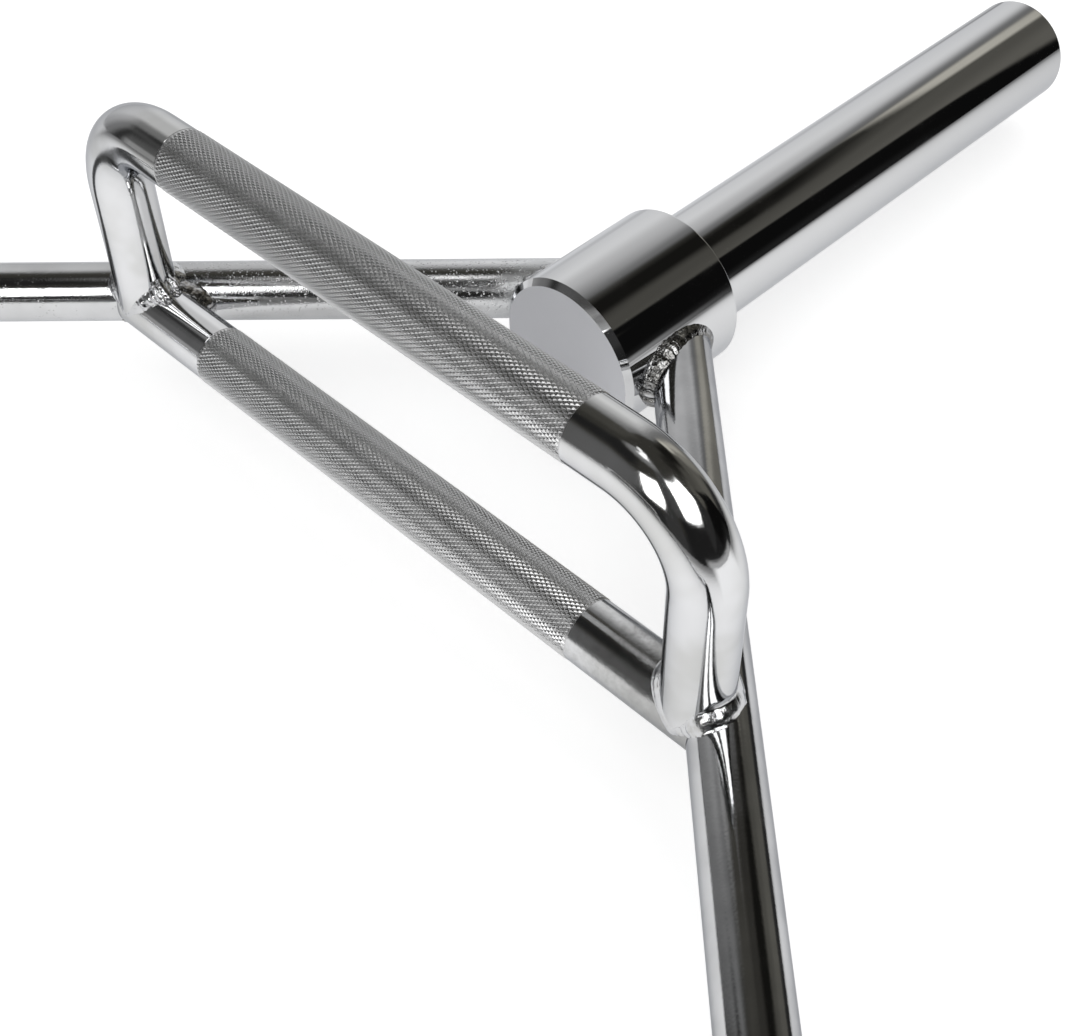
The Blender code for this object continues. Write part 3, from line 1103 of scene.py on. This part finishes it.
def rear_bar_chrome():
    """Grainy and pitted between handle and collar, fogged beside the collar, smooth beyond."""
    metal = plated_bar("rear_bar_chrome_finish", (70.0, 0.06, 0.16),
                       (35.0, (0.70, 0.704, 0.712), (0.63, 0.634, 0.640)), CHROME_EDGE,
                       (60.0, 0.000020), (1200.0, 0.000018))
    fog = metal.effect(WELD_SMOKE, foot=0.038, reach=0.012, patch_scale=90.0, softness=0.6)
    metal.smoke(fog, (0.80, 0.81, 0.82), 0.32)
    grain = metal.peel((70.0, 0.000010), (1500.0, 0.000045))
    pits = metal.effect(PIN_PITS, pit_scale=900.0, pit_share=0.45, pit_depth=0.000160)
    near_welds = metal.effect(WELD_SMOKE, foot=0.0, reach=0.24, patch_scale=60.0, softness=0.2)
    metal.relief(metal.plus(grain, pits), near_welds)
    return metal.finish()


def front_bar_chrome():
    """Smoother bar under a faint haze, duller towards its edges."""
    return plated_bar("front_bar_chrome_finish", (70.0, 0.06, 0.13),
                      (40.0, (0.61, 0.614, 0.622), (0.51, 0.514, 0.522)), (0.48, 0.49, 0.51),
                      (60.0, 0.000020), (900.0, 0.000016)).finish()


def handle_metal(name):
    """Smoother bar of the handles' plain ends and risers."""
    return plated_bar(name, (45.0, 0.07, 0.15),
                      (28.0, (0.79, 0.794, 0.805), (0.66, 0.662, 0.656)), (0.55, 0.56, 0.58),
                      (70.0, 0.000020), (800.0, 0.000010))


def low_handle_chrome():
    """The handles' chrome, dulled by smoke and spatter beside the front riser's weld."""
    metal = handle_metal("low_handle_chrome_finish")
    metal.smoke(metal.effect(WELD_SMOKE, foot=-RISER_HALF_SPACING, reach=0.050),
                (0.42, 0.42, 0.415), 0.13)
    spattered = metal.effect(WELD_SMOKE, foot=-RISER_HALF_SPACING, reach=0.028)
    metal.relief(metal.peel((300.0, 0.00015), (900.0, 0.00005)), spattered)
    return metal.finish()


def knurl_chrome():
    """Chrome over the cut diamonds, dull all over."""
    metal = Metal("knurl_chrome_finish", (0.66, 0.66, 0.66))
    metal.polish(90.0, 0.29, 0.37)
    return metal.finish()


def weld_chrome(kind, tint_share, bronze, ripple_scale, ripple_height):
    """Chrome over weld beads, stained by the heat and rippled. Where the stain is dark grey, as on
    the front collar weld, it is partly painted shade.
    """
    metal = Metal(f"{kind}_weld_chrome")
    metal.set("Base Color", metal.effect(HEAT_TINT, patch_scale=170.0, tint_share=tint_share,
                                         chrome=CHROME, bronze=bronze))
    metal.polish(160.0, 0.07, 0.22)
    metal.relief(metal.peel((ripple_scale, ripple_height), (1700.0, 0.00008)))
    return metal.finish()


# Studio: pale floor, white surroundings, and a dark room with soft boxes that the metal shows

LIT_END = Vector((0.33, 0.0, 0.0))
SHADE_BY_REAR_BAR = Vector((0.415, 0.10, 0.0))
ROOM_MIDDLE = (0.35, 0.0, 0.05)
ROOM_RADIUS = 2.0
ROOM_FOOT = (0, 0, -0.02)
FLOOR_RADIUS = 40.0


def warm(level):
    return (level * 1.04, level, level * 0.88)


def neutral(level):
    return (level, level, level)


def floor_as_the_metal_sees_it(paint):
    """Full light near the photographed end, dimmer further off, and bright towards the sweep."""
    # Painted light and shade on the floor, for glossy rays only: a painted pool of light round
    # LIT_END, and painted brightness towards the sweep and the box
    centred = paint.vector("SUBTRACT", paint.place, LIT_END)
    distance = paint.vector("LENGTH", centred)
    bearing, _ = paint.compass(centred)
    pool = paint.fall(distance, 0.62, 0.42, low=0.28)
    pool = paint.times(pool, paint.fall(distance, 1.5, 0.7, low=0.35))
    # Painted shadow of the rear bar on the floor between it and the low handle, seen only in the
    # metal
    from_shade = paint.vector("DISTANCE", paint.place, SHADE_BY_REAR_BAR)
    shade = paint.fall(from_shade, 0.085, 0.05, high=0.64)
    pool = paint.times(pool, paint.minus(1.0, shade))
    to_sweep = paint.math("ABSOLUTE", paint.off_bearing(bearing, 24.0))
    sweep = paint.fall(to_sweep, 42.0, 8.0, high=0.76)
    to_box = paint.math("ABSOLUTE", paint.off_bearing(bearing, 170.0))
    box = paint.fall(to_box, 27.0, 10.0, high=0.97)
    return paint.math("MAXIMUM", pool, paint.math("MAXIMUM", sweep, box))


FLOOR_PAINT = 0.74
FLOOR_GLOW = 0.46
MIRRORED_GLOW = 0.46
MIRRORED_PAINT_SHARE = 0.80


def add_floor(name):
    put_down_tools()
    bpy.ops.mesh.primitive_circle_add(vertices=96, radius=FLOOR_RADIUS, fill_type="NGON")
    floor = named(name)
    paint = Finish("pale_floor")
    rays = paint.add("ShaderNodeLightPath").outputs
    glossy = rays["Is Glossy Ray"]
    mirrored = paint.math("MAXIMUM", glossy, rays["Is Transmission Ray"])
    seen_glow = paint.times(rays["Is Camera Ray"], FLOOR_GLOW)
    shine = paint.plus(seen_glow, paint.times(mirrored, MIRRORED_GLOW))
    # The floor's paint and glow carry painted light and shade for glossy rays only; other rays see
    # them unchanged
    dimming = paint.minus(1.0, floor_as_the_metal_sees_it(paint))
    light = paint.minus(1.0, paint.times(dimming, glossy))
    fainter = paint.times(glossy, 1.0 - MIRRORED_PAINT_SHARE)
    paint_level = paint.times(light, paint.minus(1.0, fainter))
    colour = paint.mix(paint_level, neutral(0.0), neutral(FLOOR_PAINT))
    matt = paint.add("ShaderNodeBsdfDiffuse", {"Color": colour}).outputs[0]
    glow = paint.glow(neutral(1.0), paint.times(shine, light))
    dress(floor, paint.show(paint.add("ShaderNodeAddShader", (matt, glow)).outputs[0]))


def white_surroundings():
    world = bpy.data.worlds.new("white_surroundings")
    world.use_nodes = True
    background = world.node_tree.nodes["Background"]
    background.inputs["Color"].default_value = (1, 1, 1, 1)
    background.inputs["Strength"].default_value = 1.0
    world.cycles.sampling_method = "NONE"
    bpy.context.scene.world = world


class RoomPaint(Finish):
    """Paints the studio room patch by patch.

    Places are given in degrees: bearing 0 is +Y and 90 is +X, rise is height above the horizon.
    Brightness 1 is white.
    """

    def __init__(self, name, colour):
        super().__init__(name)
        self.bearing, self.rise = self.compass(self.place)
        self.colour = colour

    def patch(self, colour, bearing, rise, soft, slope=0.0):
        """A soft-edged patch between two bearings and two rises, its top and bottom sloping."""
        off = self.off_bearing(self.bearing, sum(bearing) / 2)
        up = self.minus(self.rise, sum(rise) / 2)
        up = self.math("ABSOLUTE", self.minus(up, self.times(off, slope)))
        off = self.math("ABSOLUTE", off)
        across = self.fall(off, (bearing[1] - bearing[0]) / 2, soft[0])
        upright = self.fall(up, (rise[1] - rise[0]) / 2, soft[1])
        self.colour = self.mix(self.times(across, upright), self.colour, colour)


def add_room(name):
    """The studio round the bar, seen by the metal only: dark walls, a pale sweep, soft boxes."""
    put_down_tools()
    bpy.ops.mesh.primitive_uv_sphere_add(segments=96, ring_count=48, radius=ROOM_RADIUS,
                                         location=ROOM_MIDDLE)
    room = named(name)
    edit(room)
    bpy.ops.mesh.select_all(action="SELECT")
    bpy.ops.mesh.bisect(plane_co=ROOM_FOOT, plane_no=(0, 0, 1), clear_inner=True)
    put_down_tools()
    room.visible_camera = False
    room.visible_diffuse = False
    room.visible_shadow = False
    paint = RoomPaint("studio_room", warm(0.042))
    paint.material.cycles.emission_sampling = "NONE"
    patch = paint.patch
    # Grey wall on the left, dark at its foot and at its top
    patch(neutral(0.115), (-100, -20), (-20, 41), (8, 8))
    patch(neutral(0.125), (-80, -54), (-20, 36), (7, 8))
    patch(neutral(0.018), (-88, -28), (47, 68), (9, 6))
    patch(neutral(0.028), (-150, -86), (-20, 14), (6, 4))
    # Warm grey wall on the right, darker at its top and foot, with a paler wall beside the sweep
    patch(warm(0.100), (92, 158), (-20, 50), (5, 6))
    patch(warm(0.135), (104, 124), (8, 27), (6, 6))
    patch(warm(0.080), (112, 137), (36, 52), (5, 5))
    patch(warm(0.018), (106, 134), (50, 69), (8, 6))
    patch(warm(0.010), (87, 113), (39.5, 60), (6, 5))
    patch(warm(0.230), (60, 99), (-20, 38), (5, 4), -0.55)
    patch(warm(0.320), (62, 80), (-20, 20), (5, 6))
    patch(warm(0.430), (80.5, 88.5), (9, 36), (2.5, 5))
    patch(neutral(0.030), (98, 124), (-20, 9), (3, 4))
    # Black furniture in front and to the right
    patch(neutral(0.015), (156, 230), (-20, 32), (5, 4))
    patch(neutral(0.005), (133, 160), (-20, 31), (4, 3))
    patch(neutral(0.005), (120, 138.5), (-20, 31.5), (1.5, 2.5), 1.08)
    patch(neutral(0.018), (129, 200), (-20, 7), (3, 5))
    patch(neutral(0.420), (143, 206), (-20, 3.5), (6, 2))
    # Pale sweep behind the bar, brightest low down at its right, and the grey ceiling over it
    patch(warm(0.065), (-2, 54), (56, 72), (12, 4))
    patch(neutral(0.205), (-24, 74), (-20, 52), (5, 9))
    patch(neutral(0.200), (40, 80.5), (-20, 58), (5, 4), -0.30)
    patch(neutral(0.030), (-31, -19), (31, 43), (5, 6))
    patch(neutral(0.035), (-35.5, -27), (-20, 30), (4, 8))
    patch(neutral(0.340), (-54, -37), (-20, 10), (4, 3))
    patch(neutral(0.450), (-11, 30), (-20, 42), (8, 8), 0.35)
    patch(neutral(0.640), (2, 70), (-20, 48), (7, 12), -0.08)
    patch(neutral(0.920), (33, 67), (-20, 29), (7, 9))
    # Soft bright spot just beyond the sweep
    patch(warm(0.560), (81.5, 93.5), (31, 38.5), (3, 2.2), -0.20)
    # Grey gap between the soft boxes, and a glow round the overhead light
    patch(neutral(0.075), (-148, -122), (28, 74), (5, 4))
    patch(neutral(0.240), (-140, -30), (70, 90), (10, 4))
    # Soft boxes: left of the camera, right of it, and one small overhead
    patch(neutral(3.6), (-117, -93), (19.5, 49), (2, 2.5), -0.35)
    patch(neutral(0.045), (-126, -104), (-20, 30), (2, 2.5), -2.0)
    patch(neutral(3.0), (160.5, 217.5), (30.5, 62.5), (2.5, 2.5))
    patch(neutral(0.030), (150, 182), (18, 40.5), (3, 2.5), -0.62)
    patch(neutral(1.6), (-119, -68), (77.5, 87), (10, 2.0))
    patch(neutral(1.3), (-75, -3), (83, 87), (8, 1.5))
    dress(room, paint.show(paint.glow(paint.colour, 1.0)))


# Camera of the photograph: a 36 mm wide sensor

CAMERA_PLACE = Vector((0.05071, -0.34107, 0.46239))
CAMERA_HEADING = math.radians(44.25)
CAMERA_DROP = math.radians(46.87)
CAMERA_ROLL = math.radians(-1.283)
CAMERA_LENS = 53.496


def add_camera():
    view = bpy.data.cameras.new("view")
    view.lens = CAMERA_LENS
    view.sensor_width = 36.0
    view.sensor_fit = "HORIZONTAL"
    view.clip_start = 0.01
    view.clip_end = 100.0
    camera = bpy.data.objects.new("view", view)
    bpy.context.scene.collection.objects.link(camera)
    look = Vector((math.sin(CAMERA_HEADING) * math.cos(CAMERA_DROP),
                   math.cos(CAMERA_HEADING) * math.cos(CAMERA_DROP), -math.sin(CAMERA_DROP)))
    turn = look.to_track_quat("-Z", "Y").to_matrix() @ Matrix.Rotation(CAMERA_ROLL, 3, "Z")
    camera.matrix_world = Matrix.Translation(CAMERA_PLACE) @ turn.to_4x4()
    bpy.context.scene.camera = camera


add_camera()
add_floor("floor")
add_room("studio_room")
white_surroundings()
bpy.context.scene.view_settings.view_transform = "Standard"

BAR_CHROMES = {"rear": rear_bar_chrome(), "front": front_bar_chrome()}
POLISHED_CHROME = polished_chrome()
SATIN_CHROME = satin_chrome()
HANDLE_CHROME = handle_metal("handle_chrome_finish").finish()
LOW_HANDLE_CHROME = low_handle_chrome()
KNURL_CHROME = knurl_chrome()
# For each weld: share stained, the stain, and the ripples' scale and height. The front collar
# weld's dark grey stain is partly heat stain and partly painted shade.
WELD_STAINS_AND_SHADE = {
    # Front collar: heat stain and painted shade, its dark grey darkening the bead as its dark
    # reflections do
    "front_collar": (0.58, (0.21, 0.207, 0.20), 650.0, 0.00038),
    "rear_collar": (0.40, (0.30, 0.29, 0.27), 900.0, 0.00035),
    "front_riser": (0.40, (0.52, 0.515, 0.50), 330.0, 0.00028),
    "rear_riser": (0.25, (0.50, 0.49, 0.47), 480.0, 0.00060),
    "front_handle": (0.45, (0.34, 0.30, 0.25), 600.0, 0.00030),
    "rear_handle": (0.52, (0.27, 0.25, 0.22), 520.0, 0.00030),
}
WELD_CHROMES = {kind: weld_chrome(kind, *stain) for kind, stain in WELD_STAINS_AND_SHADE.items()}

for end_name, end in ENDS.items():
    node = f"{end_name}_frame_bar"
    piece = make_frame_bar(node + "_plated", end)
    dress(piece, BAR_CHROMES[end_name])
    hand_over(piece, node)

right = {
    "collar": (make_collar, "polished_chrome", (POLISHED_CHROME, SATIN_CHROME)),
    "sleeve": (make_sleeve, "polished_chrome", (POLISHED_CHROME,)),
    "sleeve_plug": (make_plug, "polished_chrome", (SATIN_CHROME,)),
    "low_handle": (make_low_handle, "knurled_chrome", (LOW_HANDLE_CHROME, KNURL_CHROME)),
    "raised_handle": (make_raised_handle, "knurled_chrome", (HANDLE_CHROME, KNURL_CHROME)),
}
for part, (make, slot, finishes) in right.items():
    piece = make(f"right_{part}_plated", *finishes)
    angle = HANDLE_SMOOTH_ANGLE if "handle" in part else SMOOTH_ANGLE
    copy = other_side(piece, f"left_{part}_plated", angle)
    hand_over(piece, f"right_{part}")
    hand_over(copy, f"left_{part}")

COLLAR_ROOT = Pass(0.0060, 0.0020, 0.0017, 0.0002, 0.0, 0.06, 8, 0.00042)
FRONT_FOOT_ROOT = Pass(0.0064, 0.0024, 0.0018, 0.0003, 0.0, 0.06, 22,
                       facing=(-0.7, -0.7, 0), spread=60, least=0.75)
REAR_FOOT_ROOT = Pass(0.0060, 0.0024, 0.0018, 0.0002, 0.0, 0.06, 22,
                      facing=(-0.15, -1, 0), spread=50, least=0.8)
CROTCH_ROOT = Pass(0.0056, 0.0022, 0.0017, 0.0002, 0.0, 0.06, 14)


def collar_cap(end):
    """Crescent ripples from the crotch up to the top of the bar, none on the open side."""
    return Pass(0.0056, 0.0012, 0.0007, 0.0003, 0.22, 0.34, 1, 0.00036,
                facing=(-0.7, -0.7 * end, 0), spread=84, least=0.0, roundness=0.50)


def crotch_rods(end):
    return foot_rods(end)[1:]


# For each weld: its seam, whether that closes, its stubs, its two passes and its seed
WELDS = {
    "front_collar": (collar_seam, True, collar_weld_rods, COLLAR_ROOT, collar_cap(-1), 11),
    "rear_collar": (collar_seam, True, collar_weld_rods, COLLAR_ROOT, collar_cap(1), 12),
    "front_riser": (foot_seam, True, foot_rods, FRONT_FOOT_ROOT,
                    Pass(0.0046, 0.0026, 0.0009, 0.0001, 0.15, 0.40, 4, 0.00045,
                         facing=(-0.7, -0.7, 0), spread=70, least=0.5), 13),
    "rear_riser": (foot_seam, True, foot_rods, REAR_FOOT_ROOT,
                   Pass(0.0070, 0.0016, 0.0015, 0.0014, 0.45, 0.55, 0, 0.00040,
                        facing=(-0.10, -1, 0), spread=14, least=0.0), 14),
    "front_handle": (handle_seam, False, crotch_rods, CROTCH_ROOT,
                     Pass(0.0052, 0.0022, 0.0010, 0.0002, 0.20, 0.30, 3, 0.00045), 15),
    "rear_handle": (handle_seam, False, crotch_rods, CROTCH_ROOT,
                    Pass(0.0050, 0.0019, 0.0011, 0.0002, 0.30, 0.36, 2, 0.00042), 16),
}
for kind, (seam, closed, rods, *passes_and_seed) in WELDS.items():
    end = ENDS[kind.split("_")[0]]
    piece = weld(f"right_{kind}_weld_bead", seam(end), closed, rods(end), *passes_and_seed)
    dress(piece, WELD_CHROMES[kind])
    copy = other_side(piece, f"left_{kind}_weld_bead", math.pi)
    hand_over(piece, f"right_{kind}_weld")
    hand_over(copy, f"left_{kind}_weld")

put_down_tools()
